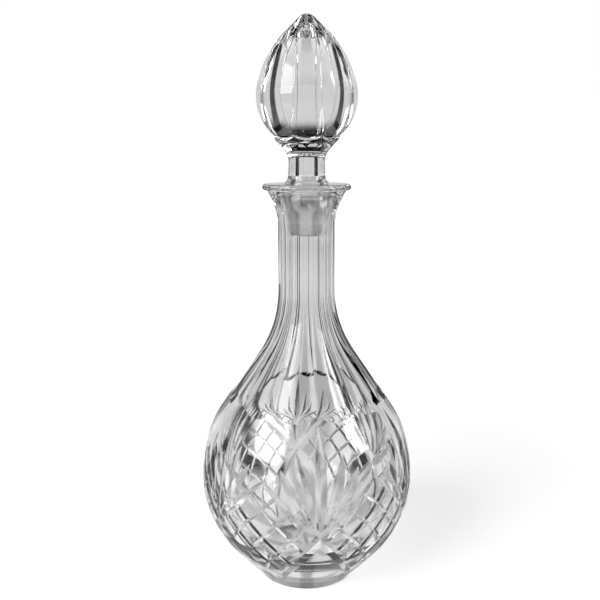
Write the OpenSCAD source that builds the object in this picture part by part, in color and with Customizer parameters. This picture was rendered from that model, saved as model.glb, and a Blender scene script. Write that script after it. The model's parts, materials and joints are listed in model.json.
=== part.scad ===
// Cut-glass wine decanter: a bottle and the ground glass stopper that lifts straight out of it.
// Millimetres, +Z up. The foot stands on z = 0 and the middle of one cut fan faces -Y.

/* [Bottle] */
// Height of the bottle, from the foot to the top of the lip
bottle_h = 231; // [226:1:238]
// Widest diameter of the body
body_d = 124; // [118:1:130]
// Height of the widest place above the foot
body_mid = 60.5; // [57:0.5:64]
// Diameter of the flat foot
foot_d = 61; // [54:1:66]
// Width of the straight belt above the widest place
belt_w = 6; // [4:0.5:9]
// Lean of the belt, in degrees from upright
belt_lean = 9; // [7:0.5:11]
// Lean of the straight shoulder, in degrees from upright
shoulder_lean = 34; // [32:0.5:36]
// Radius of the sweep from the shoulder into the neck
sweep_arc = 66; // [60:1:70]
// Diameter of the neck before it is fluted
neck_d = 33.2; // [32:0.2:36]
// Thickness of the glass wall
wall = 6.8; // [6:0.1:7.2]
// Thickness of the glass under the bowl
floor_t = 10; // [8:0.5:13]
// Radius of the dished floor of the bowl
floor_arc = 60; // [50:1:90]

/* [Lip and seat] */
// Diameter of the lip
lip_d = 49.4; // [47:0.2:53]
// Thickness of the lip
lip_t = 3.4; // [3:0.1:4.2]
// Radius of the flare under the lip
flare_arc = 34; // [30:1:40]
// Height of the flare
flare_h = 18.6; // [17:0.2:20]
// Diameter of the mouth at the top of the lip
mouth_d = 25; // [24:0.2:26.4]
// Depth of the ground seat below the top of the lip
seat_depth = 30; // [27:1:34]

/* [Stopper] */
// Gap between the ground plug and its seat
fit_gap = 0.2; // [0.1:0.05:0.3]
// Length of the plug below the top of the lip
plug_l = 28; // [24:1:32]
// Bevel round the lower end of the plug
plug_bevel = 1.2; // [0.6:0.1:2]
// Height of the plug that stands above the lip
plug_rise = 0.8; // [0.6:0.1:1.5]
// Height of the stopper above the lip
stopper_h = 89; // [84:1:94]
// Widest diameter of the stopper head
head_d = 56.2; // [54:0.2:58]
// Height of the widest place of the head above the lip
head_mid = 46; // [44:0.5:50]
// Radius of the rounded tip
tip_arc = 7.2; // [6:0.2:8]
// Width of the first straight belt above the widest place of the head
head_belt_w = 6.6; // [5:0.2:8]
// Lean of the first belt, in degrees from upright
head_belt_lean = 18.5; // [17:0.5:20]
// Width of the second straight belt
tip_belt_w = 10.5; // [9:0.5:11]
// Lean of the second belt, in degrees from upright
tip_belt_lean = 33; // [31:0.5:35]
// Diameter of the waist under the head
waist_d = 20; // [18:0.2:21.6]
// Radius of the hollow above the waist
waist_arc = 12; // [9:0.5:14]
// Turn of the stopper in its seat, in degrees
stopper_turn = -6; // [-22:1:22]

/* [Flutes] */
// Depth of the neck flutes
flute_depth = 0.85; // [0.7:0.05:1.1]
// How much less the flutes lean than the shoulder, in degrees
flute_ease = 1.6; // [1:0.1:2.2]
// Height above the foot where the flutes begin to run out
flute_low_z = 114; // [111:0.5:118]
// Radius of the wheel that rounds the lower ends of the flutes
flute_low_arc = 22; // [18:1:28]
// Radius of the wheel that rounds the upper ends of the flutes
flute_high_arc = 26; // [24:0.5:28]
// Number of flutes round the stopper head
head_flutes = 8; // [6:1:10]
// Depth of the flutes in the stopper head
head_flute_depth = 0.95; // [0.7:0.05:1.2]
// Radius of the stopper flutes below the widest place
head_flute_arc = 25.3; // [24:0.1:26]
// Height above the lip where the stopper flutes end
head_flute_low = 24; // [23:0.5:26]
// Radius of the small core left at the tip
tip_core = 2.2; // [1.6:0.1:3]

/* [Body cutting] */
// Number of fans round the body
fans = 6; // [5:1:7]
// Height of the tip of the middle blade of a fan
fan_top_z = 107; // [102:0.5:110]
// Height where the outer blades end and the panels begin
panel_top_z = 79; // [76:0.5:82]
// Height of the point where the blades of a fan meet
fan_root_z = 47.5; // [45:0.5:50]
// Height of the lowest point of a panel
panel_low_z = 7; // [6:0.5:9]
// Depth of the fan blades
blade_depth = 1.7; // [1.2:0.1:2]
// Depth of the mitre cuts that frame the panels
border_depth = 1.9; // [1.4:0.1:2.2]
// Depth of the fine cuts across the panels
hatch_depth = 0.75; // [0.5:0.05:1]
// Squares along one side of a panel
panel_squares = 4; // [3:1:5]
// Half angle of the wide mitre wheel, in degrees
mitre_angle = 62; // [56:1:66]
// Half angle of the fine wheel, in degrees
hatch_angle = 57; // [50:1:62]

/* [Hidden] */
$fn = 96;
glass = "#dfe6e8";
// Small lap where two curves of a profile run into each other
lap = 0.02;

mid_r = body_d / 2;
foot_r = foot_d / 2;
neck_r = neck_d / 2;
lip_r = lip_d / 2;
bore_r = neck_r - wall;
mouth_r = mouth_d / 2;
head_r = head_d / 2;
waist_r = waist_d / 2;

// Body: a cone from the foot, a ball, a narrow belt, an upper ball, a straight shoulder and a sweep into the neck
foot_lean = atan2(body_mid, foot_r) - acos(mid_r / norm([foot_r, body_mid]));
function lean_dir(a) = [cos(a), sin(a)];
function up_dir(a) = [-sin(a), cos(a)];
mid_c = [0, body_mid];
foot_join = mid_c + mid_r * lean_dir(-foot_lean);
belt_low = mid_c + mid_r * lean_dir(belt_lean);
belt_high = belt_low + belt_w * up_dir(belt_lean);
high_r = belt_high.x / cos(belt_lean);
high_c = [0, belt_high.y - high_r * sin(belt_lean)];
sweep_top_r = neck_r + sweep_arc;
shoulder_low = high_c + high_r * lean_dir(shoulder_lean);
shoulder_high_r = sweep_top_r - sweep_arc * cos(shoulder_lean);
shoulder_high_z = shoulder_low.y + (shoulder_low.x - shoulder_high_r) / tan(shoulder_lean);
neck_z = shoulder_high_z + sweep_arc * sin(shoulder_lean);
lip_z = bottle_h - lip_t;
flare_z = lip_z - flare_h;
flare_end_r = neck_r + flare_arc - sqrt(pow(flare_arc, 2) - pow(flare_h, 2));

// The seat and the plug share one taper
seat_taper = (mouth_r - bore_r) / seat_depth;
function plug_r(z) = mouth_r - fit_gap + seat_taper * (z - bottle_h);

// Stopper head: three balls with straight belts between them, a cone and a rounded tip
head_z = bottle_h + head_mid;
tip_z = bottle_h + stopper_h;
head_c = [0, head_z];
function belt_high_of(c, r, lean, w) = c + r * lean_dir(lean) + w * up_dir(lean);
function next_r(c, r, lean, w) = belt_high_of(c, r, lean, w).x / cos(lean);
function next_c(c, r, lean, w) = [0, belt_high_of(c, r, lean, w).y - next_r(c, r, lean, w) * sin(lean)];
crown_r = next_r(head_c, head_r, head_belt_lean, head_belt_w);
crown_c = next_c(head_c, head_r, head_belt_lean, head_belt_w);
peak_r = next_r(crown_c, crown_r, tip_belt_lean, tip_belt_w);
peak_c = next_c(crown_c, crown_r, tip_belt_lean, tip_belt_w);
tip_c = [0, tip_z - tip_arc];
tip_lean = asin((peak_r - tip_arc) / (tip_c.y - peak_c.y));
head_lean = 45;
head_low = head_c + head_r * lean_dir(-head_lean);
hollow_r = waist_r + waist_arc * (1 - cos(head_lean));
hollow_z = head_low.y - (head_low.x - hollow_r) / tan(head_lean);
waist_z = hollow_z - waist_arc * sin(head_lean);
plug_top_z = bottle_h + plug_rise;
shank_ledge = 0.3;
shank_end_r = plug_r(plug_top_z) - shank_ledge;
shank_h = waist_z - plug_top_z;
shank_arc = (pow(shank_h, 2) + pow(shank_end_r - waist_r, 2)) / (2 * (shank_end_r - waist_r));

// The part of a disc between two heights
module disc_band(c, r, z0, z1, reach) {
  intersection() {
    translate(c) circle(r);
    translate([0, z0]) square([reach, z1 - z0]);
  }
}

// What is left inside a hollow curve between two heights
module hollow_band(c, r, z0, z1, reach) {
  difference() {
    translate([0, z0]) square([reach, z1 - z0]);
    translate(c) circle(r);
  }
}

// A straight run between two points of a profile, carried into the curves at its ends
module straight_band(low, high, low_in, high_in) {
  polygon([[0, low.y - low_in], [low.x - 2, low.y - low_in], low, high, [high.x - 2, high.y + high_in], [0, high.y + high_in]]);
}

// From the belt to the neck, set in by the given amount
module upper_profile(inset) {
  b = lean_dir(belt_lean) * (inset + lap);
  r = high_r - inset;
  s = sweep_arc + inset;
  out = lean_dir(shoulder_lean);
  low = high_c + r * out;
  high = [sweep_top_r, neck_z] - s * out;
  straight_band(belt_low - b, belt_high - b, 3, 3);
  disc_band(high_c, r, belt_high.y - 3, low.y + 5, mid_r);
  straight_band(low - lap * out, high + lap * out + 4 * up_dir(shoulder_lean), 6, 0);
  hollow_band([sweep_top_r, neck_z], s, high.y, neck_z, high.x);
}

module outside_profile() {
  foot_in = lap / cos(foot_lean);
  straight_band([foot_r - foot_in, 0], foot_join - lap * lean_dir(-foot_lean), 0, 5);
  disc_band(mid_c, mid_r, foot_join.y - 4, belt_low.y + 4, mid_r + 1);
  upper_profile(0);
  translate([0, neck_z - 5]) square([neck_r + lap, flare_z - neck_z + 10]);
  hollow_band([neck_r + flare_arc, flare_z], flare_arc, flare_z, lip_z + lip_t / 2, flare_end_r);
  translate([0, lip_z]) square([lip_r - lip_t / 2, lip_t]);
  translate([lip_r - lip_t / 2, lip_z + lip_t / 2]) circle(lip_t / 2);
}

module inside_profile() {
  intersection() {
    disc_band(mid_c, mid_r - wall, 0, belt_low.y + 3, mid_r);
    translate([0, floor_t + floor_arc]) circle(floor_arc);
  }
  upper_profile(wall);
  translate([0, neck_z - 5]) square([bore_r + lap, bottle_h - neck_z]);
  seat_z = bottle_h - seat_depth - 2;
  polygon([[0, seat_z], [bore_r - 2 * seat_taper, seat_z], [mouth_r + seat_taper, bottle_h + 1], [0, bottle_h + 1]]);
}

// Radius and lean of the outside of the body at a height
function body_lean(z) =
  z < foot_join.y ? -foot_lean :
  z < belt_low.y ? asin((z - body_mid) / mid_r) :
  z < belt_high.y ? belt_lean :
  z < shoulder_low.y ? asin((z - high_c.y) / high_r) : shoulder_lean;
function body_r(z) =
  z < foot_join.y ? foot_r + z * tan(foot_lean) :
  z < belt_low.y ? mid_r * cos(body_lean(z)) :
  z < belt_high.y ? belt_low.x - (z - belt_low.y) * tan(belt_lean) :
  z < shoulder_low.y ? high_r * cos(body_lean(z)) :
  shoulder_low.x - (z - shoulder_low.y) * tan(shoulder_lean);

// A point at a depth under the surface; turn 0 is the front and turns to +X
function at_turn(turn, r, z) = [r * sin(turn), -r * cos(turn), z];
function on_body(turn, z, depth) =
  at_turn(turn, body_r(z) - depth * cos(body_lean(z)), z - depth * sin(body_lean(z)));

// One pass of a cutting wheel: its edge, the 2-D child, follows the circle through three points
function unit(v) = v / norm(v);
function circle_centre(a, m, b) =
  let (u = m - a, v = b - a, w = cross(u, v))
  a + cross((u * u) * v - (v * v) * u, w) / (2 * (w * w));
module wheel_pass(a, m, b, lead_a, lead_b) {
  c = circle_centre(a, m, b);
  r = norm(a - c);
  n = unit(cross(m - a, b - a));
  x = (a - c) / r;
  y = cross(n, x);
  span = atan2((b - c) * y, (b - c) * x);
  before = lead_a / r * 180 / PI;
  after = lead_b / r * 180 / PI;
  multmatrix([[x.x, y.x, n.x, c.x], [x.y, y.y, n.y, c.y], [x.z, y.z, n.z, c.z], [0, 0, 0, 1]])
    rotate([0, 0, -before])
      rotate_extrude(angle = span + before + after)
        translate([r, 0]) children();
}

// A straight pass of the wheel down the cone above the foot
module straight_pass(a, b, lead_a, lead_b) {
  z = unit(b - a);
  m = (a + b) / 2;
  out = unit([m.x, m.y, 0]) * cos(foot_lean) - [0, 0, sin(foot_lean)];
  y = unit(cross(z, out));
  x = cross(y, z);
  o = a - lead_a * z;
  multmatrix([[x.x, y.x, z.x, o.x], [x.y, y.y, z.y, o.y], [x.z, y.z, z.z, o.z], [0, 0, 0, 1]])
    linear_extrude(height = norm(b - a) + lead_a + lead_b) children();
}

module mitre_edge(depth, angle) {
  rise = depth + 0.9;
  polygon([[0, 0], [rise, -rise * tan(angle)], [rise, rise * tan(angle)]]);
}

module round_edge(r, rise) {
  intersection() {
    translate([r, 0]) circle(r);
    translate([-1, -r]) square([rise + 1, 2 * r]);
  }
}

// The blades of a fan: their tips lie on an arch from the middle blade down to the panels
pitch = 360 / fans;
inner_blade = 0.44;
outer_blade = 0.71;
root_spread = 0.2;
function blade_tip(share) = panel_top_z + (fan_top_z - panel_top_z) * (1 - pow(share, 1.22)) * (1 - 0.29 * share);
module blade(share) {
  tip = blade_tip(abs(share));
  turn = share * pitch / 2;
  root = fan_root_z + 3 + 7 * abs(share);
  middle = (root + tip) / 2;
  wheel_pass(on_body(turn, tip, 0), on_body(turn * (1 + root_spread) / 2, middle, blade_depth),
    on_body(turn * root_spread, root, 0.2), 2, 2)
    mitre_edge(blade_depth, mitre_angle);
}

// The panels: levels run down from the top corner, and each step to the side is one level down
levels = 2 * panel_squares;
step_turn = pitch / levels;
fall = (panel_top_z - fan_root_z) / panel_squares;
low_fall = (panel_top_z - panel_low_z) / levels;
function level_z(s) = panel_top_z - fall * s - (low_fall - fall) * s * (s - panel_squares) / panel_squares;
function panel_point(u, v, depth) = on_body(pitch / 2 + (u - v) * step_turn, level_z(u + v), depth);

// The frame of a panel: an upper cut, a lower cut round the bowl and a straight cut down to the foot.
// The second upper cut is a little shallower than the one it crosses
corner_depth = 0.25;
lower_depth = border_depth * 0.8;
module border_upper(side) {
  depth = border_depth * (1 - 0.06 * side);
  mirror([side, 0, 0])
    wheel_pass(panel_point(0, 0, corner_depth), panel_point(panel_squares * 0.5, 0, depth * 0.85),
      panel_point(panel_squares, 0, depth), 2.5, 1.2)
      mitre_edge(depth, mitre_angle);
}

module border_lower(side) {
  mirror([side, 0, 0])
    wheel_pass(panel_point(panel_squares, 0, lower_depth), panel_point(panel_squares, panel_squares * 0.4, border_depth * 0.85),
      panel_point(panel_squares, panel_squares * 0.75, 0.1), 0, 2)
      mitre_edge(border_depth, mitre_angle);
}

module border_foot(side) {
  mirror([side, 0, 0])
    straight_pass(panel_point(panel_squares, panel_squares * 0.6, border_depth * 0.6),
      panel_point(panel_squares, panel_squares, 0.3), 10, 1.5)
      mitre_edge(border_depth, mitre_angle);
}

// The fine cuts of one side are a little shallower than those they cross
module hatch(side, i) {
  depth = hatch_depth * (1 - 0.2 * side);
  mirror([side, 0, 0])
    wheel_pass(panel_point(0, i, depth), panel_point(panel_squares / 2, i, depth), panel_point(panel_squares, i, depth), 0, 0)
      mitre_edge(depth, hatch_angle);
}

module round_body() {
  for (k = [0 : fans - 1]) {
    rotate([0, 0, k * pitch]) children();
  }
}

// One neck flute, drawn in the plane through the axis: neck, shoulder and rounded ends
flute_lean = shoulder_lean - flute_ease;
flute_r = neck_r - flute_depth;
module flute_profile() {
  out = [cos(flute_lean), sin(flute_lean)];
  start = [flute_r + sweep_arc * (1 - cos(flute_lean)), neck_z - sweep_arc * sin(flute_lean)] + 2 * lap * out;
  end = [start.x + (start.y - flute_low_z) * tan(flute_lean), flute_low_z];
  translate([flute_r + sweep_arc, neck_z]) circle(sweep_arc);
  polygon([start, end, end + 15 * out, start + 15 * out]);
  translate(end + (flute_low_arc - 2 * lap) * out) circle(flute_low_arc);
  translate([flute_r + lap, neck_z]) square([15, flare_z - neck_z]);
  disc_band([flute_r + flute_high_arc, flare_z], flute_high_arc, flare_z - 5, flare_z + 0.78 * flare_h, neck_r + flare_arc);
}

module flute() {
  rotate([90, 0, -90]) linear_extrude(height = 28, center = true) flute_profile();
}

module blank() {
  rotate_extrude() difference() {
    outside_profile();
    inside_profile();
  }
}

module fluted() {
  difference() {
    blank();
    for (k = [0 : 2 * fans - 1]) {
      rotate([0, 0, (k + 0.5) * pitch / 2]) flute();
    }
  }
}

// Each set of cuts is taken from the glass in turn, as on the wheel
module fan_cuts(set) {
  if (set == 0) round_body() blade(0);
  else {
    side = 3 - 2 * set;
    round_body() blade(side * inner_blade);
    round_body() blade(-side * outer_blade);
  }
}

module fanned(sets) {
  if (sets == 0) fluted();
  else difference() {
    fanned(sets - 1);
    fan_cuts(sets - 1);
  }
}

module frame_cuts(set) {
  if (set < 2) {
    round_body() border_upper(set);
    round_body() border_foot(1 - set);
  }
  else round_body() border_lower(set - 2);
}

module framed(sets) {
  if (sets == 0) fanned(3);
  else difference() {
    framed(sets - 1);
    frame_cuts(sets - 1);
  }
}

module hatched(sets) {
  if (sets == 0) framed(4);
  else difference() {
    hatched(sets - 1);
    for (i = [1 : panel_squares - 1]) {
      round_body() hatch(sets - 1, i);
    }
  }
}

module bottle() {
  color(glass) hatched(2);
}

module stopper() {
  color(glass) rotate([0, 0, stopper_turn]) difference() {
    rotate_extrude() stopper_profile();
    head_cuts();
  }
}

// A ball from one lean to another, and the belt or cone that follows it
module ball_part(c, r, from, to) {
  disc_band(c, r, c.y + r * sin(from) - 2, c.y + r * sin(to) + 2, head_r + 1);
}

module belt_part(c0, r0, c1, r1, lean) {
  straight_band(c0 + (r0 - lap) * lean_dir(lean), c1 + (r1 - lap) * lean_dir(lean), 3, 1);
}

// The head from the widest place to the tip, set in by the given amount
module crown_profile(inset) {
  ball_part(head_c, head_r - inset, 0, head_belt_lean);
  belt_part(head_c, head_r - inset, crown_c, crown_r - inset, head_belt_lean);
  ball_part(crown_c, crown_r - inset, head_belt_lean, tip_belt_lean);
  belt_part(crown_c, crown_r - inset, peak_c, peak_r - inset, tip_belt_lean);
  ball_part(peak_c, peak_r - inset, tip_belt_lean, tip_lean);
  belt_part(peak_c, peak_r - inset, tip_c, tip_arc - inset, tip_lean);
  ball_part(tip_c, tip_arc - inset, tip_lean, 90);
}

module stopper_profile() {
  out = lean_dir(-head_lean);
  crown_profile(0);
  disc_band(head_c, head_r, head_low.y - 3, head_z, head_r + 1);
  straight_band([hollow_r, hollow_z] + lap * out - 3 * up_dir(-head_lean), head_low - lap * out, 0, 5);
  hollow_band([waist_r + waist_arc, waist_z], waist_arc, waist_z, hollow_z, hollow_r);
  hollow_band([waist_r + lap + shank_arc, waist_z], shank_arc, plug_top_z, waist_z + 1, waist_r + waist_arc / 2);
  bottom = bottle_h - plug_l;
  polygon([[0, bottom], [plug_r(bottom) - plug_bevel, bottom], [plug_r(bottom + plug_bevel), bottom + plug_bevel],
    [plug_r(plug_top_z), plug_top_z], [waist_r - 1, plug_top_z], [waist_r - 1, plug_top_z + 2], [0, plug_top_z + 2]]);
}

// One flute of the head, drawn in the plane through the axis
module head_flute_profile() {
  low_c = [head_r - head_flute_depth - head_flute_arc, head_z];
  low_z = bottle_h + head_flute_low;
  difference() {
    translate([tip_core, low_z]) square([head_r, stopper_h]);
    crown_profile(head_flute_depth);
    disc_band(low_c, head_flute_arc, low_z - 5, head_z, head_r);
  }
}

module head_cuts() {
  for (k = [0 : head_flutes - 1]) {
    rotate([90, 0, k * 360 / head_flutes - 90]) linear_extrude(height = 28, center = true) head_flute_profile();
  }
}

bottle();
stopper();
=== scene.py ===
import json
import math
import bpy
import numpy as np
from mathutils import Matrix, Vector
from mathutils.geometry import delaunay_2d_cdt

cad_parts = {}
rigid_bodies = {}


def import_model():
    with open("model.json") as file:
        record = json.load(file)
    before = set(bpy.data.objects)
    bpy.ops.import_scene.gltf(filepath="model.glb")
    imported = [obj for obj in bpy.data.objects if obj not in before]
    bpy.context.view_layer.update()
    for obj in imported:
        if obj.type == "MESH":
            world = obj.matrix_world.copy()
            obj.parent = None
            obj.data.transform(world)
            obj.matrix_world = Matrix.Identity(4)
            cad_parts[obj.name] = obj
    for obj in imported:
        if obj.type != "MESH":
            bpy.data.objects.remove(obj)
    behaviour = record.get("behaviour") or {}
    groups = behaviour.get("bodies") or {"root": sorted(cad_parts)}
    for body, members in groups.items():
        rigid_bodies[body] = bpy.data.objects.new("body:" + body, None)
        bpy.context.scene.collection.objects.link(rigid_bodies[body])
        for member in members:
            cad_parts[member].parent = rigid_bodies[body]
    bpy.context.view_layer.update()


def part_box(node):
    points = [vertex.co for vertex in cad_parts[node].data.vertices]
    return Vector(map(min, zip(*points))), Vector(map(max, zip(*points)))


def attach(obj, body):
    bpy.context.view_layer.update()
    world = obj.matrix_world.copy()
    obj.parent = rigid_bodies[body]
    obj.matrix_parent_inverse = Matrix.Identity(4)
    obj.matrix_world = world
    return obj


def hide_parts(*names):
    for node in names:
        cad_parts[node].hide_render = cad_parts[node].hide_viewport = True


for spare in list(bpy.data.objects):  # the start-up cube, lamp and camera
    bpy.data.objects.remove(spare, do_unlink=True)
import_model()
millimetre = 0.001


def linearColour(hexText):  # sRGB hex to the linear values that the shaders take
    srgb = np.array([int(hexText[i:i + 2], 16) for i in (1, 3, 5)]) / 255
    linear = np.where(srgb <= 0.04045, srgb / 12.92, ((srgb + 0.055) / 1.055) ** 2.4)
    return (*linear.tolist(), 1.0)


def addNode(tree, kind, at, inputs=None, **settings):  # an input is a plain value or the socket that feeds it
    made = tree.nodes.new(kind)
    made.location = at
    for name, value in settings.items():
        setattr(made, name, value)
    for name, value in (inputs or {}).items():
        if isinstance(value, bpy.types.NodeSocket):
            tree.links.new(value, made.inputs[name])
        else:
            made.inputs[name].default_value = value
    return made


def freshMaterial(name):
    made = bpy.data.materials.new(name)
    made.use_nodes = True
    made.node_tree.nodes.clear()
    return made, made.node_tree


crystal = {
    "colour": "#f0f0f0",    # lead crystal, nearly colourless
    "index": 1.545,
    "roughness": 0.003,     # acid-polished all over
    "waveSize": 0.018,      # metres between the soft waves left by blowing and polishing
    "waveDepth": 0.00002,
    "groundRough": 0.2,     # the ground plug and its seat in the neck
    "cutRough": 0.19,       # the walls of the wheel cuts keep some satin
    "cutTop": 0.1105,       # metres: the cutting of the body ends below this height
    "leanLeast": 0.1, "leanFull": 0.18,   # how far a face leans round the axis before it counts as a cut
    "wearRough": 0.16,      # the ring that the foot has worn by standing
    "wearHeight": 0.0006,
}
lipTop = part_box("bottle")[1][2]
groundSeat = {"radius": 0.0125, "low": lipTop - 0.028, "high": lipTop - 0.001, "fade": 0.0006}


def crystalMaterial(name, ground):
    # lead crystal, blown, wheel-cut and acid-polished: clear and a little wavy, satin in the cuts,
    # finely ground where the plug seats and rubbed where the foot stands
    made, tree = freshMaterial(name)
    place = addNode(tree, "ShaderNodeTexCoord", (-900, 0)).outputs["Object"]
    height = addNode(tree, "ShaderNodeSeparateXYZ", (-700, 200), {"Vector": place}).outputs["Z"]
    wave = addNode(tree, "ShaderNodeTexNoise", (0, -200), {
        "Vector": place, "Scale": 1 / crystal["waveSize"], "Detail": 1.0})
    bump = addNode(tree, "ShaderNodeBump", (300, -250), {
        "Height": wave.outputs["Fac"], "Distance": crystal["waveDepth"], "Strength": 1.0})
    # the ground seat lies inside its radius, between its two heights
    flat = addNode(tree, "ShaderNodeVectorMath", (-700, 0), {0: place, 1: (1, 1, 0)}, operation="MULTIPLY")
    reach = addNode(tree, "ShaderNodeVectorMath", (-500, 0), {0: flat.outputs["Vector"]}, operation="LENGTH")
    inside = addNode(tree, "ShaderNodeMath", (-300, 0), {
        0: reach.outputs["Value"], 1: groundSeat["radius"]}, operation="LESS_THAN")
    above = addNode(tree, "ShaderNodeMapRange", (-300, 200), {
        "Value": height, "From Min": ground["low"] - groundSeat["fade"], "From Max": ground["low"]})
    below = addNode(tree, "ShaderNodeMapRange", (-300, 450), {
        "Value": height, "From Min": ground["high"] - groundSeat["fade"], "From Max": ground["high"],
        "To Min": 1.0, "To Max": 0.0})
    band = addNode(tree, "ShaderNodeMath", (-100, 300), {
        0: above.outputs["Result"], 1: below.outputs["Result"]}, operation="MULTIPLY")
    seat = addNode(tree, "ShaderNodeMath", (100, 200), {
        0: band.outputs["Value"], 1: inside.outputs["Value"]}, operation="MULTIPLY")
    seatRough = addNode(tree, "ShaderNodeMapRange", (300, 200), {
        "Value": seat.outputs["Value"], "To Min": crystal["roughness"], "To Max": crystal["groundRough"]})
    wornRough = addNode(tree, "ShaderNodeMapRange", (100, 450), {
        "Value": height, "From Max": crystal["wearHeight"], "To Min": crystal["wearRough"], "To Max": 0.0})
    rough = addNode(tree, "ShaderNodeMath", (300, 450), {
        0: seatRough.outputs["Result"], 1: wornRough.outputs["Result"]}, operation="MAXIMUM")
    # a cut wall is a face whose normal leans round the axis: |N . (Z x P)| / |Z x P|
    shape = addNode(tree, "ShaderNodeNewGeometry", (-700, 700))
    around = addNode(tree, "ShaderNodeVectorMath", (-700, 950), {0: (0, 0, 1), 1: place}, operation="CROSS_PRODUCT")
    unit = addNode(tree, "ShaderNodeVectorMath", (-500, 950), {0: around.outputs["Vector"]}, operation="NORMALIZE")
    lean = addNode(tree, "ShaderNodeVectorMath", (-300, 850), {
        0: unit.outputs["Vector"], 1: shape.outputs["Normal"]}, operation="DOT_PRODUCT")
    leans = addNode(tree, "ShaderNodeMath", (-150, 850), {0: lean.outputs["Value"]}, operation="ABSOLUTE")
    wall = addNode(tree, "ShaderNodeMapRange", (0, 850), {
        "Value": leans.outputs["Value"], "From Min": crystal["leanLeast"], "From Max": crystal["leanFull"],
        "To Min": 0.0, "To Max": crystal["cutRough"]})
    low = addNode(tree, "ShaderNodeMath", (0, 650), {0: height, 1: crystal["cutTop"]}, operation="LESS_THAN")
    cut = addNode(tree, "ShaderNodeMath", (200, 750), {
        0: wall.outputs["Result"], 1: low.outputs["Value"]}, operation="MULTIPLY")
    finish = addNode(tree, "ShaderNodeMath", (450, 350), {
        0: rough.outputs["Value"], 1: cut.outputs["Value"]}, operation="MAXIMUM")
    glass = addNode(tree, "ShaderNodeBsdfPrincipled", (600, 0), {
        "Base Color": linearColour(crystal["colour"]), "IOR": crystal["index"], "Transmission Weight": 1.0,
        "Roughness": finish.outputs["Value"], "Normal": bump.outputs["Normal"]})
    addNode(tree, "ShaderNodeOutputMaterial", (900, 0), {"Surface": glass.outputs["BSDF"]})
    return made


def meshPiece(name, points, faces):
    mesh = bpy.data.meshes.new(name)
    mesh.from_pydata(points.tolist(), [], faces)
    mesh.polygons.foreach_set("use_smooth", np.ones(len(mesh.polygons), bool))
    mesh.update()
    made = bpy.data.objects.new(name, mesh)
    bpy.context.scene.collection.objects.link(made)
    return made


def takePlace(piece, node, material):
    piece.data.materials.append(material)
    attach(piece, node)
    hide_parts(node)


bottleShape = {   # millimetres and degrees, as in the solids
    "top": 231.0, "body": 61.985,               # radius, a hair under the solids' 62 to stay inside their facets
    "bodyMid": 60.5, "foot": 30.5, "belt": 6.0, "beltLean": 9.0, "shoulderLean": 34.0,
    "sweep": 66.0, "neck": 16.6, "wall": 6.8, "floor": 10.0, "floorArc": 60.0, "lip": 24.7, "lipThick": 3.4,
    "flareArc": 34.0, "flareHigh": 18.6, "mouth": 12.5, "seat": 30.0,
    "fluteDeep": 0.85, "fluteEase": 1.6, "fluteLow": 114.0, "fluteLowArc": 22.0, "fluteHighArc": 26.0,
    "cutLow": 4.0, "cutHigh": 107.4,            # the body's cutting lies between these heights
    "fluteParts": 8, "landParts": 3, "fluteLeast": 5.0, "fluteMost": 14.6,   # columns of a flute, and its half width
    "step": 1.5, "innerStep": 3.0, "lineStep": 0.1, "arcTurn": 2.5, "lipTurn": 7.5, "sharp": 8.0,
    "weldDigits": 4,
}
cutting = {   # millimetres and degrees
    "fans": 6, "fanTop": 107.0, "fanRoot": 47.5, "panelTop": 79.0, "panelLow": 7.0, "squares": 4,
    "blades": (0.0, 0.44, 0.71),                # places of the blades, as shares of half a fan
    "tipPower": 1.22, "tipFall": 0.29, "rootRise": 3.0, "rootSlant": 7.0, "rootSpread": 0.2,
    "bladeDepth": (0.0, 1.7, 0.2), "upperDepth": (0.25, 1.62, 1.9),          # at the start, middle and end
    "lowerDepth": (1.6, 1.5, 0.3), "hatchDepth": (0.75, 0.75, 0.75),
    "wideWheel": 62.0, "fineWheel": 57.0,       # half angles of the two mitre wheels
    "samples": 36, "spacing": 2.3, "margin": 1.0, "weld": 1e-5, "rim": 1e-4,
}


def arcPoints(centre, radius, start, end, turn=bottleShape["arcTurn"]):  # points of an arc, in degrees
    count = max(2, int(abs(end - start) / turn) + 2)
    angle = np.radians(np.linspace(start, end, count))
    return np.stack([centre[0] + radius * np.cos(angle), centre[1] + radius * np.sin(angle)], axis=1)


def tracedLine(points, step):  # the same line with points no further apart than the step
    count = np.maximum(1, np.ceil(np.hypot(*np.diff(points, axis=0).T) / step)).astype(int)
    first = np.repeat(np.arange(len(count)), count)
    share = (np.arange(count.sum()) - np.repeat(np.cumsum(count) - count, count)) / np.repeat(count, count)
    return np.concatenate([points[first] + (points[first + 1] - points[first]) * share[:, None], points[-1:]])


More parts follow.
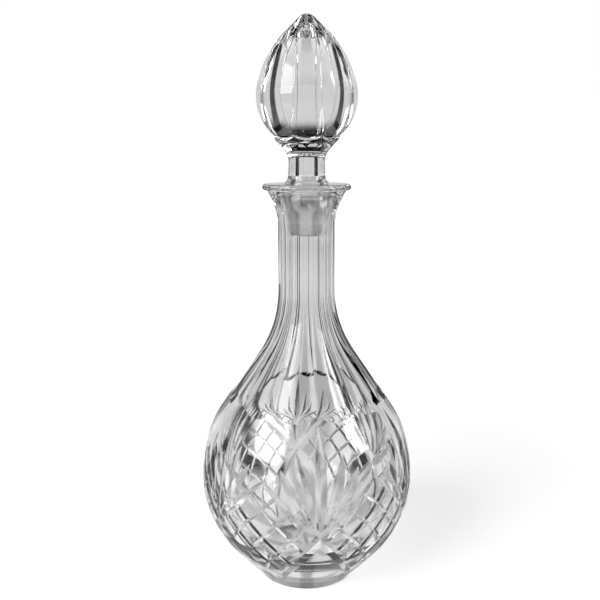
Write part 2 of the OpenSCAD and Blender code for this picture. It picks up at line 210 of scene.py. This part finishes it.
def bottleLines(shape):
    # the outside from the foot to the flare, and the lip, seat, bore, bowl and floor, as radius and height
    lean, shoulder = math.radians(shape["beltLean"]), math.radians(shape["shoulderLean"])
    body, bodyMid, sweep = shape["body"], shape["bodyMid"], shape["sweep"]
    footLean = math.atan2(bodyMid, shape["foot"]) - math.acos(body / math.hypot(shape["foot"], bodyMid))
    high = (body * math.cos(lean) - shape["belt"] * math.sin(lean)) / math.cos(lean)
    highMid = bodyMid + body * math.sin(lean) + shape["belt"] * math.cos(lean) - high * math.sin(lean)
    sweepX = shape["neck"] + sweep
    straight = (high * math.cos(shoulder) - sweepX + sweep * math.cos(shoulder)) / math.tan(shoulder)
    neckZ = highMid + high * math.sin(shoulder) + sweep * math.sin(shoulder) + straight
    lipZ = shape["top"] - shape["lipThick"]
    flareZ = lipZ - shape["flareHigh"]

    def wallLine(inset, start):
        return np.concatenate([
            arcPoints((0, bodyMid), body - inset, start, shape["beltLean"]),
            arcPoints((0, highMid), high - inset, shape["beltLean"], shape["shoulderLean"]),
            arcPoints((sweepX, neckZ), sweep + inset, 180 + shape["shoulderLean"], 180)])

    flareEnd = math.degrees(math.asin(shape["flareHigh"] / shape["flareArc"]))
    outside = np.concatenate([
        [[shape["foot"], 0]], wallLine(0, -math.degrees(footLean)),
        arcPoints((shape["neck"] + shape["flareArc"], flareZ), shape["flareArc"], 180, 180 - flareEnd)])
    # the floor's arc meets the bowl where both have the same radius
    inner, floorArc, floorZ = body - shape["wall"], shape["floorArc"], shape["floor"] + shape["floorArc"]
    meetZ = (bodyMid ** 2 - floorZ ** 2 - inner ** 2 + floorArc ** 2) / (2 * (bodyMid - floorZ))
    bowlStart = math.degrees(math.asin((meetZ - bodyMid) / inner))
    floorEnd = math.degrees(math.asin((meetZ - floorZ) / floorArc))
    bowl = np.concatenate([
        arcPoints((0, floorZ), floorArc, -90, floorEnd), wallLine(shape["wall"], bowlStart)])
    half = shape["lipThick"] / 2
    bore = shape["neck"] - shape["wall"]
    inside = np.concatenate([
        arcPoints((shape["lip"] - half, lipZ + half), half, -90, 90, shape["lipTurn"]),
        [[shape["mouth"], shape["top"]], [bore, shape["top"] - shape["seat"]]], bowl[::-1]])
    return outside, inside, neckZ, flareZ


def fluteReach(shape, z, neckZ, flareZ):
    # distance of a flat flute from the axis: a straight run down the shoulder, the sweep, the neck and round ends
    lean = math.radians(shape["shoulderLean"] - shape["fluteEase"])
    near, sweep = shape["neck"] - shape["fluteDeep"], shape["sweep"]
    low, lowArc, highArc = shape["fluteLow"], shape["fluteLowArc"], shape["fluteHighArc"]
    startX, startZ = near + sweep * (1 - math.cos(lean)), neckZ - sweep * math.sin(lean)
    lowX = startX + (startZ - low) * math.tan(lean) + lowArc * math.cos(lean)
    lowZ = low + lowArc * math.sin(lean)

    def hollow(x, radius, away):
        return x - np.sqrt(np.clip(radius ** 2 - away ** 2, 0, None))

    return np.select(
        [z > flareZ, z > neckZ, z > startZ, z > low],
        [hollow(near + highArc, highArc, z - flareZ), np.full_like(z, near),
         hollow(near + sweep, sweep, z - neckZ), startX + (startZ - z) * math.tan(lean)],
        hollow(lowX, lowArc, z - lowZ))


def cutCurves(cut):
    # every cut of half a fan and half a panel: turn and height along it, its depths and its wheel's angle
    share = np.linspace(0, 1, cut["samples"])
    pitch, squares = 360 / cut["fans"], cut["squares"]
    fall = (cut["panelTop"] - cut["fanRoot"]) / squares
    lowFall = (cut["panelTop"] - cut["panelLow"]) / (2 * squares)

    def panelLine(u, v, depth, wheel):
        level = u + v
        height = cut["panelTop"] - fall * level - (lowFall - fall) * level * (level - squares) / squares
        return pitch / 2 + (u - v) * pitch / (2 * squares), height, depth, wheel

    curves = []
    for part in cut["blades"]:
        rise = (1 - part ** cut["tipPower"]) * (1 - cut["tipFall"] * part)
        tip = cut["panelTop"] + (cut["fanTop"] - cut["panelTop"]) * rise
        root = cut["fanRoot"] + cut["rootRise"] + cut["rootSlant"] * part
        curves.append((part * pitch / 2 * (1 - share * (1 - cut["rootSpread"])), tip + (root - tip) * share,
                       cut["bladeDepth"], cut["wideWheel"]))
    whole, still = squares * share, 0 * share
    curves.append(panelLine(still, whole, cut["upperDepth"], cut["wideWheel"]))
    curves.append(panelLine(whole, squares + still, cut["lowerDepth"], cut["wideWheel"]))
    for line in range(1, squares):
        rest = (squares - line) * share
        curves.append(panelLine(line + still, line + rest, cut["hatchDepth"], cut["fineWheel"]))
        curves.append(panelLine(line * share, line + still, cut["hatchDepth"], cut["fineWheel"]))
    # their mirror images across both edges of the half sector
    return curves + [(-c[0], *c[1:]) for c in curves] + [(pitch - c[0], *c[1:]) for c in curves]


def clippedLine(turn, along, turnMost, alongMost):
    # a line with points where it crosses the rim of the half sector, and which of its pieces lie inside
    knots = np.arange(len(turn), dtype=float)
    places = [knots]
    for values, limit in ((turn, 0.0), (turn, turnMost), (along, 0.0), (along, alongMost)):
        side = values - limit
        k = np.flatnonzero(side[:-1] * side[1:] < 0)
        places.append(k + side[k] / (side[k] - side[k + 1]))
    places = np.unique(np.concatenate(places))
    line = np.stack([np.interp(places, knots, turn), np.interp(places, knots, along)], axis=1)
    middle = (line[1:] + line[:-1]) / 2
    between = (middle[:, 0] > 0) & (middle[:, 0] < turnMost)
    onEdge = np.abs(line[1:, 0]) + np.abs(line[:-1, 0]) < cutting["weld"]
    inside = (between | onEdge) & (middle[:, 1] > 0) & (middle[:, 1] < alongMost)
    line[:, 0] = np.clip(line[:, 0], 0, turnMost)
    return line, np.flatnonzero(inside)


def flatTriangles(lines, loose, weld):
    # plane triangles over lines and loose points, with every kept piece of a line as an edge
    starts = np.cumsum([0] + [len(line) for line, kept in lines])
    points = np.concatenate([line for line, kept in lines] + [loose])
    edges = np.concatenate([
        np.stack([kept, kept + 1], axis=1) + start for (line, kept), start in zip(lines, starts)])
    used = np.union1d(edges, np.arange(starts[-1], len(points)))
    edges = np.searchsorted(used, edges)
    made, _, faces, *_ = delaunay_2d_cdt(points[used].tolist(), edges.tolist(), [], 0, weld)
    return np.array(made), np.array(faces)


def cutDepth(flat, across, grooves):
    # how deep each point lies: the most of D - distance / tan(wheel angle) over the pieces of every cut
    deepest = np.zeros(len(flat))
    metric = np.stack([across, np.ones(len(across))], axis=1)[:, None, :]
    for turn, along, deep, slope in grooves:
        ends = np.stack([turn, along], axis=1)
        a, b = (ends[None, :-1] - flat[:, None]) * metric, (ends[None, 1:] - flat[:, None]) * metric
        run = b - a
        t = np.clip(-(a * run).sum(2) / np.maximum((run ** 2).sum(2), 1e-12), 0, 1)
        away = np.linalg.norm(a + run * t[:, :, None], axis=2)
        deepest = np.maximum(deepest, (deep[:-1] + (deep[1:] - deep[:-1]) * t - away / slope).max(axis=1))
    return deepest


def cutPatch(shape, cut, outline, edgeTurns):
    # half a fan and half a panel with V-shaped cuts square to the surface, triangulated so that the floor
    # and both rims of every cut are edges of the mesh
    radius, height, reach = outline
    low, high = np.interp([shape["cutLow"], shape["cutHigh"]], height, reach)
    turnMost, alongMost, spacing = 180 / cut["fans"], high - low, cut["spacing"]
    lines, grooves = [], []
    for turn, z, depth, wheel in cutCurves(cut):
        along = np.interp(z, height, reach) - low
        share = np.linspace(0, 1, len(turn))
        deep = np.clip(depth[0] * (1 - share) * (1 - 2 * share) + 4 * depth[1] * share * (1 - share)
                       + depth[2] * share * (2 * share - 1), 0, None)
        slope = math.tan(math.radians(wheel))
        grooves.append((turn, along, deep, slope))
        across = np.radians(np.interp(z, height, radius))      # millimetres to a degree of turn
        run = np.stack([np.gradient(turn) * across, np.gradient(along)], axis=1)
        run /= np.linalg.norm(run, axis=1)[:, None]
        for side in (0, -1, 1):
            wide = side * deep * slope
            lines.append(clippedLine(turn + wide * run[:, 1] / across, along - wide * run[:, 0], turnMost, alongMost))
    # the rim of the half sector, and loose points between the cuts
    upright = np.linspace(0, alongMost, int(alongMost / spacing) + 1)
    rim = [(edgeTurns, 0 * edgeTurns), (edgeTurns, 0 * edgeTurns + alongMost),
           (0 * upright, upright), (0 * upright + turnMost, upright)]
    lines += [(np.stack(line, axis=1), np.arange(len(line[0]) - 1)) for line in rim]
    x, y = np.meshgrid(np.arange(spacing, turnMost - cut["margin"], spacing),
                       np.arange(spacing, alongMost - cut["margin"], spacing))
    x = x + spacing / 2 * (np.round(y / spacing) % 2)
    flat, faces = flatTriangles(lines, np.stack([x.ravel(), y.ravel()], axis=1), cut["weld"])
    # points on the lower and upper rim fall exactly on those of the foot and the shoulder
    lowRim, highRim = flat[:, 1] < cut["rim"], flat[:, 1] > alongMost - cut["rim"]
    nearest = edgeTurns[np.abs(flat[:, :1] - edgeTurns).argmin(axis=1)]
    turn = np.where(lowRim | highRim, nearest, flat[:, 0])
    here = np.select([lowRim, highRim], [low, high], flat[:, 1] + low)
    # pressed in along the normal of the outline
    r, z = np.interp(here, reach, radius), np.interp(here, reach, height)
    outX, outZ = np.interp(here, reach, np.gradient(height, reach)), -np.interp(here, reach, np.gradient(radius, reach))
    deep = np.where(lowRim | highRim, 0, cutDepth(flat, np.radians(r), grooves))
    return np.stack([turn, r - deep * outX, z - deep * outZ], axis=1), faces


def gridPatch(turns, radius, height):  # triangles of a grid of rows, each with its own turns
    rows, columns = turns.shape
    i, j = np.meshgrid(np.arange(rows - 1), np.arange(columns - 1), indexing="ij")
    k = (i * columns + j).ravel()
    return np.stack([turns, radius, height], axis=2).reshape(-1, 3), np.concatenate([
        np.stack([k, k + 1, k + columns + 1], axis=1), np.stack([k, k + columns + 1, k + columns], axis=1)])


def turnedPatch(turns, line):  # a line of radius and height, turned through the same angles all along
    size = (len(line), len(turns))
    return gridPatch(*(np.broadcast_to(part, size) for part in (turns, line[:, :1], line[:, 1:])))


def bottleSurface(shape, cut):
    outside, inside, neckZ, flareZ = bottleLines(shape)
    fine = tracedLine(outside, shape["lineStep"])
    reach = np.concatenate([[0], np.cumsum(np.hypot(*np.diff(fine, axis=0).T))])
    # shoulder and neck: columns follow the edge of the flute, half of it either side of its middle
    start = np.interp(shape["cutHigh"], fine[:, 1], reach)
    line = np.linspace(start, reach[-1], int((reach[-1] - start) / shape["step"]))
    r, z = np.interp(line, reach, fine[:, 0]), np.interp(line, reach, fine[:, 1])
    flat = fluteReach(shape, z, neckZ, flareZ)
    half = np.degrees(np.arccos(np.clip(flat / r, 0, 1)))
    half = np.clip(half, shape["fluteLeast"], shape["fluteMost"])[:, None]
    mid = 90 / cut["fans"]
    inner = np.linspace(0, 1, shape["fluteParts"] + 1)[None]
    outer = np.linspace(0, 1, shape["landParts"] + 1)[None, 1:]
    side = np.concatenate([half * inner, half + (mid - half) * outer], axis=1)
    turns = np.concatenate([-side[:, :0:-1], side], axis=1)
    across = np.minimum(r[:, None], flat[:, None] / np.cos(np.radians(turns)))
    turns = turns + mid
    neck = gridPatch(turns, across, np.broadcast_to(z[:, None], turns.shape))
    # lip, seat, bore, bowl and floor, and the foot, are plain turned faces
    lipStart = [[across[-1].mean(), z[-1]]]
    turned = turnedPatch(turns[-1], np.concatenate([lipStart, tracedLine(inside, shape["innerStep"])]))
    footTop = [np.interp(shape["cutLow"], fine[:, 1], fine[:, 0]), shape["cutLow"]]
    foot = turnedPatch(turns[0], np.array([[0, 0], [shape["foot"] / 2, 0], [shape["foot"], 0], footTop]))
    body = cutPatch(shape, cut, (fine[:, 0], fine[:, 1], reach), turns[0])
    # every patch is half a sector: mirrored, repeated round the axis and welded
    points, faces, count = [], [], 0
    for patch, corners in (foot, body, neck, turned):
        for k in range(cut["fans"]):
            for flip in (1, -1):
                turn = np.radians(k * 360 / cut["fans"] + flip * patch[:, 0])
                points.append(np.stack([
                    patch[:, 1] * np.sin(turn), -patch[:, 1] * np.cos(turn), patch[:, 2]], axis=1))
                faces.append(corners[:, ::flip] + count)
                count += len(patch)
    points, shared = np.unique(
        np.round(np.concatenate(points), shape["weldDigits"]), axis=0, return_inverse=True)
    faces = shared.reshape(-1)[np.concatenate(faces)]
    kept = (faces[:, 0] != faces[:, 1]) & (faces[:, 1] != faces[:, 2]) & (faces[:, 2] != faces[:, 0])
    return points * millimetre, faces[kept]


points, faces = bottleSurface(bottleShape, cutting)
bottleGlass = meshPiece("bottleGlass", points, faces.tolist())
bottleGlass.data.set_sharp_from_angle(angle=math.radians(bottleShape["sharp"]))
takePlace(bottleGlass, "bottle", crystalMaterial("cutCrystal", groundSeat))
print("bottle: cut glass", len(faces), "faces")

stopperShape = {   # millimetres and degrees
    "plug": [(8.6, 203.0), (9.85, 204.25), (12.37, 231.78), (12.0, 232.0)],
    "waist": [(11.3, 232.5), (10.75, 233.5), (10.4, 235), (10.2, 237), (10.1, 240), (10.05, 243), (10.2, 245),
              (10.6, 246.5), (11.4, 248.1), (12.9, 250), (14.74, 252), (17.0, 254.3)],
    "head": [(18.6, 255.9), (20.6, 258), (22.3, 260), (23.76, 262), (25.85, 266), (27.21, 270), (27.94, 274),
             (28.1, 277), (27.94, 280), (27.21, 284), (26.3, 287), (25.28, 290), (23.7, 294), (21.75, 298),
             (19.35, 302), (16.5, 306), (13.1, 310), (10.1, 313), (7.95, 315), (5.75, 317), (4.6, 318),
             (3.2, 319), (2.0, 319.6), (1.0, 319.93)],
    "top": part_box("stopper")[1][2] / millimetre - 0.01,
    "flutes": 8, "turn": -6.0,
    "landHalf": 7.6, "landLeast": -3.0,         # half width of the land between two flutes
    "landMid": 280.0, "landUp": 29.0, "landDown": 21.0,
    "scoop": 0.55, "step": 0.42, "stepWidth": 0.28, "edge": 0.06, "edgeBand": 0.9, "landSliver": 0.02,
    "flutesLow": 255.4, "scallop": 1.6, "endSlope": 3.0, "endReach": 2.5,
    "rows": 236, "plugRows": 24, "flutePart": 12, "edgePart": 8, "landPart": 4,
}


def smoothLeast(a, b, soft):  # the lesser of two, rounded where they cross
    near = np.clip(1 - np.abs(a - b) / soft, 0, None)
    return np.minimum(a, b) - near ** 2 * soft / 4


def outlineCurve(knots, step, line, straightSpans):
    # straight spans, then a smooth curve through the points (cubic with slopes from the neighbours)
    slope = np.gradient(knots, step, axis=0)
    k = np.clip(np.searchsorted(step, line, side="right") - 1, 0, len(step) - 2)
    span = step[k + 1] - step[k]
    t = ((line - step[k]) / span)[:, None]
    straight = knots[k] + (knots[k + 1] - knots[k]) * t
    curve = ((2 * t ** 3 - 3 * t ** 2 + 1) * knots[k] + (t ** 3 - 2 * t ** 2 + t) * span[:, None] * slope[k]
             + (3 * t ** 2 - 2 * t ** 3) * knots[k + 1] + (t ** 3 - t ** 2) * span[:, None] * slope[k + 1])
    return np.where(k[:, None] < straightSpans, straight, curve).T


def stopperSurface(shape):
    # radius = the lesser of the outline and of a hollow flute: R cos(w) / cos(a) - scoop (1 - (a / w)^2) and a
    # small steep step along its edge, where a is the angle from the middle of the flute and w its half width there
    knots = np.array(shape["plug"] + shape["waist"] + shape["head"])
    step = np.concatenate([[0], np.cumsum(np.hypot(*np.diff(knots, axis=0).T))])
    plugEnd, aboveRows = step[len(shape["plug"]) - 1], shape["rows"] - shape["plugRows"] + 1
    line = np.concatenate([np.linspace(0, plugEnd, shape["plugRows"]), np.linspace(plugEnd, step[-1], aboveRows)[1:]])
    radius, height = outlineCurve(knots, step, line, len(shape["plug"]))
    fromMid = height - shape["landMid"]
    land = shape["landHalf"] * (1 - np.where(fromMid > 0, fromMid / shape["landUp"], fromMid / shape["landDown"]) ** 2)
    sector = 180 / shape["flutes"]
    half = sector - np.clip(land, shape["landLeast"], None)
    # columns of half a sector: the flute, its edge and the land, so that a column always runs along the edge
    inner = np.clip(half - shape["edgeBand"], 0, sector - shape["edgeBand"])[:, None]
    outer = np.clip(half + shape["edgeBand"], 0, sector - shape["landSliver"])[:, None]
    parts = [np.linspace(0, 1, shape[part], endpoint=False) for part in ("flutePart", "edgePart", "landPart")]
    angle = np.concatenate([
        inner * parts[0], inner + (outer - inner) * parts[1], outer + (sector - outer) * parts[2],
        np.full((len(line), 1), sector)], axis=1)
    w, a = np.radians(half)[:, None], np.radians(angle)
    radius, height = radius[:, None], height[:, None]
    scale = radius / knots[:, 0].max()

    def flute(a):
        hollow = radius * np.cos(w) / np.cos(a) - shape["scoop"] * scale * (1 - (a / w) ** 2)
        hollow = hollow - shape["step"] * scale * np.clip((w - np.abs(a)) * radius / shape["stepWidth"], -1, 1)
        lowEnd = shape["flutesLow"] + shape["scallop"] * (a / w) ** 2
        return hollow + np.clip(lowEnd - height, 0, None) * shape["endSlope"]

    cut = smoothLeast(flute(a), flute(2 * math.radians(sector) - a), shape["edge"])
    across = smoothLeast(radius + 0 * a, cut, shape["edge"])
    across = np.where(height < shape["flutesLow"] - shape["endReach"], radius, across)
    # mirror the half sector, repeat it round the head
    both = np.concatenate([-angle[:, :0:-1], angle[:, :-1]], axis=1)
    reach = np.concatenate([across[:, :0:-1], across[:, :-1]], axis=1)
    count = shape["flutes"]
    turns = np.radians(np.concatenate([both + 2 * sector * k for k in range(count)], axis=1) + shape["turn"])
    reach = np.concatenate([reach] * count, axis=1)
    rows, columns = reach.shape
    points = np.stack([
        reach * np.sin(turns), -reach * np.cos(turns), np.broadcast_to(height, reach.shape)], axis=-1).reshape(-1, 3)
    points = np.concatenate([points, [[0, 0, height[0, 0]], [0, 0, shape["top"]]]])
    ring, follow = np.arange(columns), (np.arange(columns) + 1) % columns
    row = np.arange(rows - 1)[:, None] * columns
    quads = np.stack([row + ring, row + follow, row + columns + follow, row + columns + ring], axis=-1).reshape(-1, 4)
    last = (rows - 1) * columns
    base = np.stack([follow, ring, np.full(columns, rows * columns)], axis=1)
    tip = np.stack([last + ring, last + follow, np.full(columns, rows * columns + 1)], axis=1)
    return points * millimetre, quads.tolist() + base.tolist() + tip.tolist()


points, faces = stopperSurface(stopperShape)
stopperGlass = meshPiece("stopperGlass", points, faces)
plugGround = {"low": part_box("stopper")[0][2] - 0.001, "high": groundSeat["high"]}
takePlace(stopperGlass, "stopper", crystalMaterial("stopperCrystal", plugGround))
print("stopper: hollow flutes", len(faces), "faces")

# no dark panels are built round the table: the glass alone sees their dark, painted as shade on the floor and left dark
# in the world light; the gaps between them are light
screenShade = {"count": 8, "turn": 7.2, "dark": -0.9, "light": -0.6}   # limits of the cosine across a gap


def gapCosine(tree, place):
    # cos(count (angle round Z - turn)): 1 in the middle of a gap, -1 in the middle of a dark panel
    parts = addNode(tree, "ShaderNodeSeparateXYZ", (-1300, -300), {"Vector": place})
    angle = addNode(tree, "ShaderNodeMath", (-1150, -300), {
        0: parts.outputs["X"], 1: parts.outputs["Y"]}, operation="ARCTAN2")
    turned = addNode(tree, "ShaderNodeMath", (-1000, -300), {
        0: angle.outputs["Value"], 1: screenShade["count"],
        2: -screenShade["count"] * math.radians(screenShade["turn"])}, operation="MULTIPLY_ADD")
    cosine = addNode(tree, "ShaderNodeMath", (-850, -300), {0: turned.outputs["Value"]}, operation="COSINE")
    return cosine.outputs["Value"]


floorCard = {   # metres
    # the shade colour is painted shade: the dark of the panels round the table, shown only to the glass; colour is the
    # card's own
    "half": 3.0, "height": -0.0002, "colour": "#f3f3f3", "paintedShade": "#202020",
    "lift": (0.55, 1.0), "liftFrom": (0.25, 1.0),       # towards white, by the distance from the object
    "clear": (0.08, 0.14),                              # no painted panel shade nearer than this
    "straight": (0.245, 0.51), "flank": (1.0, 0.57),    # painted light the glass sees in the middle and at the sides of a gap, near and far: dimmer in the middle, brighter at the sides
    "farFrom": (0.35, 0.7), "flankEdge": (0.3, 0.75),
}


def floorMaterial():
    # pale matt card; the lift brings it up to white where it is seen and keeps the shadow; the glass sees it painted,
    # with painted shade of the dark panels and painted light that is dimmer in the middle of each gap and brighter at
    # its sides
    made, tree = freshMaterial("paleCardPaintedLight")
    path = addNode(tree, "ShaderNodeLightPath", (-900, 300))
    glassRay = addNode(tree, "ShaderNodeMath", (-650, 300), {
        0: path.outputs["Is Transmission Ray"], 1: path.outputs["Is Glossy Ray"]}, operation="MAXIMUM")
    place = addNode(tree, "ShaderNodeTexCoord", (-1500, -200)).outputs["Object"]
    away = addNode(tree, "ShaderNodeVectorMath", (-700, -500), {0: place}, operation="LENGTH").outputs["Value"]
    gap = gapCosine(tree, place)
    lift = addNode(tree, "ShaderNodeMapRange", (-500, -500), {
        "Value": away, "From Min": floorCard["liftFrom"][0], "From Max": floorCard["liftFrom"][1],
        "To Min": floorCard["lift"][0], "To Max": floorCard["lift"][1]})
    # mask of the painted panel shade: 1 where a dark panel would stand, seen from the glass
    screenShadeMask = addNode(tree, "ShaderNodeMapRange", (-500, 0), {
        "Value": gap, "From Min": screenShade["dark"], "From Max": screenShade["light"],
        "To Min": 1.0, "To Max": 0.0}, interpolation_type="SMOOTHSTEP")
    clear = addNode(tree, "ShaderNodeMapRange", (-500, -250), {
        "Value": away, "From Min": floorCard["clear"][0], "From Max": floorCard["clear"][1]})
    dim = addNode(tree, "ShaderNodeMath", (-300, 0), {
        0: screenShadeMask.outputs["Result"], 1: clear.outputs["Result"]}, operation="MULTIPLY")
    # painted light that only the glass sees: the floor glows dimmer in the middle of each gap and brighter at its sides
    flank, straight = (addNode(tree, "ShaderNodeMapRange", (-500, down), {
        "Value": away, "From Min": floorCard["farFrom"][0], "From Max": floorCard["farFrom"][1],
        "To Min": floorCard[part][0], "To Max": floorCard[part][1]})
        for part, down in (("flank", -750), ("straight", -1000)))
    level = addNode(tree, "ShaderNodeMapRange", (-300, -750), {
        "Value": gap, "From Min": floorCard["flankEdge"][0], "From Max": floorCard["flankEdge"][1],
        "To Min": flank.outputs["Result"], "To Max": straight.outputs["Result"]}, interpolation_type="SMOOTHSTEP")
    lit = addNode(tree, "ShaderNodeMath", (-150, -150), {0: 1.0, 1: dim.outputs["Value"]}, operation="SUBTRACT")
    toned = addNode(tree, "ShaderNodeMath", (-100, -600), {
        0: level.outputs["Result"], 1: lift.outputs["Result"]}, operation="MULTIPLY")
    glassLift = addNode(tree, "ShaderNodeMath", (50, -400), {
        0: toned.outputs["Value"], 1: lit.outputs["Value"]}, operation="MULTIPLY")
    fromGlass = addNode(tree, "ShaderNodeMath", (200, -350), {
        0: glassLift.outputs["Value"], 1: glassRay.outputs["Value"]}, operation="MULTIPLY")
    shown = addNode(tree, "ShaderNodeMath", (350, -300), {
        0: path.outputs["Is Camera Ray"], 1: lift.outputs["Result"],
        2: fromGlass.outputs["Value"]}, operation="MULTIPLY_ADD")
    # painted shade: for glass rays the card's colour turns dark under the panel mask
    side = addNode(tree, "ShaderNodeMath", (-100, 200), {
        0: dim.outputs["Value"], 1: glassRay.outputs["Value"]}, operation="MULTIPLY")
    cardPaintedShade = addNode(tree, "ShaderNodeMix", (100, 250), {   # 6, 7 and 2 are its colour sockets
        "Factor": side.outputs["Value"], 6: linearColour(floorCard["colour"]), 7: linearColour(floorCard["paintedShade"])},
        data_type="RGBA")
    matt = addNode(tree, "ShaderNodeBsdfDiffuse", (400, 150), {"Color": cardPaintedShade.outputs[2]})
    glow = addNode(tree, "ShaderNodeEmission", (500, -200), {
        "Color": (1, 1, 1, 1), "Strength": shown.outputs["Value"]})
    both = addNode(tree, "ShaderNodeAddShader", (650, 0), {0: matt.outputs["BSDF"], 1: glow.outputs["Emission"]})
    addNode(tree, "ShaderNodeOutputMaterial", (800, 0), {"Surface": both.outputs["Shader"]})
    return made


corners = np.array([(-1, -1), (1, -1), (1, 1), (-1, 1)]) * floorCard["half"]
floor = meshPiece("floor", np.insert(corners, 2, floorCard["height"], axis=1), [(0, 1, 2, 3)])
floor.data.materials.append(floorMaterial())

room = {"white": 1.0, "gap": 0.69, "dark": 0.01, "wallTop": (0.84, 0.94)}   # wallTop: cosine of the elevation


def roomWorld():
    # white as the camera sees it; the glass shows light gaps between dark panels, under a dark ceiling
    world = bpy.data.worlds.new("studioRoom")
    bpy.context.scene.world = world
    world.use_nodes = True
    tree = world.node_tree
    tree.nodes.clear()
    place = addNode(tree, "ShaderNodeTexCoord", (-1500, 0)).outputs["Generated"]
    flat = addNode(tree, "ShaderNodeVectorMath", (-700, 150), {0: place, 1: (1, 1, 0)}, operation="MULTIPLY")
    level = addNode(tree, "ShaderNodeVectorMath", (-500, 150), {0: flat.outputs["Vector"]}, operation="LENGTH")
    upright = addNode(tree, "ShaderNodeMapRange", (-300, 150), {
        "Value": level.outputs["Value"], "From Min": room["wallTop"][0], "From Max": room["wallTop"][1]},
        interpolation_type="SMOOTHSTEP")
    gap = addNode(tree, "ShaderNodeMapRange", (-300, -150), {
        "Value": gapCosine(tree, place), "From Min": screenShade["dark"], "From Max": screenShade["light"],
        "To Min": 0.0, "To Max": room["gap"]}, interpolation_type="SMOOTHSTEP")
    wall = addNode(tree, "ShaderNodeMath", (-100, 0), {
        0: upright.outputs["Result"], 1: gap.outputs["Result"], 2: room["dark"]}, operation="MULTIPLY_ADD")
    path = addNode(tree, "ShaderNodeLightPath", (0, 300))
    shown = addNode(tree, "ShaderNodeMix", (250, 0), {
        "Factor": path.outputs["Is Camera Ray"], "A": wall.outputs["Value"], "B": room["white"]}, data_type="FLOAT")
    sky = addNode(tree, "ShaderNodeBackground", (450, 0), {
        "Color": (1, 1, 1, 1), "Strength": shown.outputs["Result"]})
    addNode(tree, "ShaderNodeOutputWorld", (650, 0), {"Surface": sky.outputs["Background"]})


roomWorld()
lampAim = (0, 0, 0.12)
lamps = {   # metres and watts
    "windowLeft": {"at": (-0.9, -0.55, 0.75), "size": (0.85, 0.8), "watts": 13},
    "windowRight": {"at": (0.95, -0.5, 0.7), "size": (0.25, 0.6), "watts": 5},
}


def directionTurn(aim):
    return Vector(aim).to_track_quat("-Z", "Y").to_euler()


def softbox(name, at, size, watts):
    lamp = bpy.data.lights.new(name, "AREA")
    lamp.shape = "RECTANGLE"
    lamp.size, lamp.size_y = size
    lamp.energy = watts
    made = bpy.data.objects.new(name, lamp)
    bpy.context.scene.collection.objects.link(made)
    made.location = at
    made.rotation_euler = directionTurn(np.subtract(lampAim, at))


for name, lamp in lamps.items():
    softbox(name, **lamp)
print("floor, room and lamps")

# camera: near the object and a little above it, read from the perspective of the photograph
viewPoint = {
    "distance": 0.402, "height": 0.2515, "aimHeight": 0.165, "turn": 7.2,
    "sensor": 36.0, "picturePixels": 600, "focalPixels": 716.0, "axisPixel": 306.7, "clipStart": 0.01,
}
turn = math.radians(viewPoint["turn"])
pixels = viewPoint["picturePixels"]
lens = bpy.data.cameras.new("camera")
lens.sensor_width = viewPoint["sensor"]
lens.lens = viewPoint["sensor"] * viewPoint["focalPixels"] / pixels
lens.shift_x = (pixels / 2 - viewPoint["axisPixel"]) / pixels
lens.clip_start = viewPoint["clipStart"]
camera = bpy.data.objects.new("camera", lens)
bpy.context.scene.collection.objects.link(camera)
x, y = -viewPoint["distance"] * math.sin(turn), -viewPoint["distance"] * math.cos(turn)
camera.location = (x, y, viewPoint["height"])
camera.rotation_euler = directionTurn((-x, -y, viewPoint["aimHeight"] - viewPoint["height"]))
bpy.context.scene.camera = camera
bpy.context.scene.view_settings.view_transform = "Standard"
